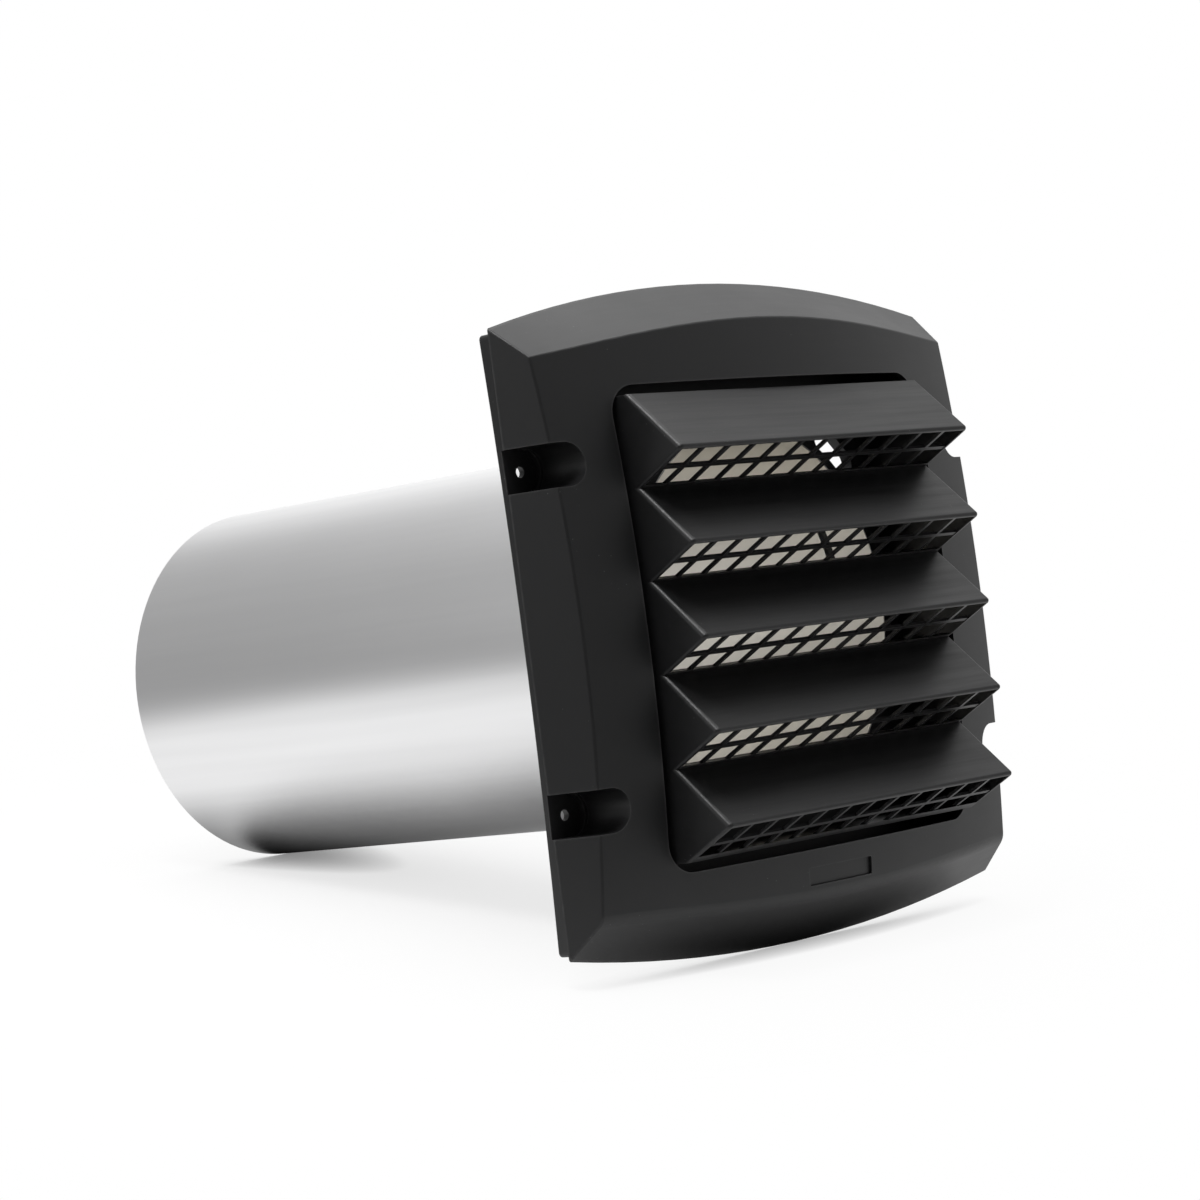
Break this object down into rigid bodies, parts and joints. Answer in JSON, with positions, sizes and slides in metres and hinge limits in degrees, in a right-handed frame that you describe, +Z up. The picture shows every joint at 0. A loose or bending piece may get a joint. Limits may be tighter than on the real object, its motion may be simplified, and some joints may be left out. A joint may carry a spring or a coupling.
{
  "type": "intake vent hood",
  "caption": "Black louvred intake vent hood with a guard grille on a wall plate, and a satin aluminium duct pipe through the wall behind it.",
  "frame": {"origin": "on the pipe axis at the wall plane, which is the back of the wall plate", "axes": "+Z up as mounted, +X to the right seen from the front, the hood's front faces -Y and the pipe runs to +Y"},
  "size_m": [0.2556, 0.3364, 0.2596],
  "materials": {
    "black_plastic": "satin",
    "aluminium": "satin"
  },
  "bodies": {
    "root": {"hood_cover": "black_plastic", "louvre_grille": "black_plastic", "wall_plate": "black_plastic", "duct_pipe": "aluminium"}
  },
  "joints": []
}
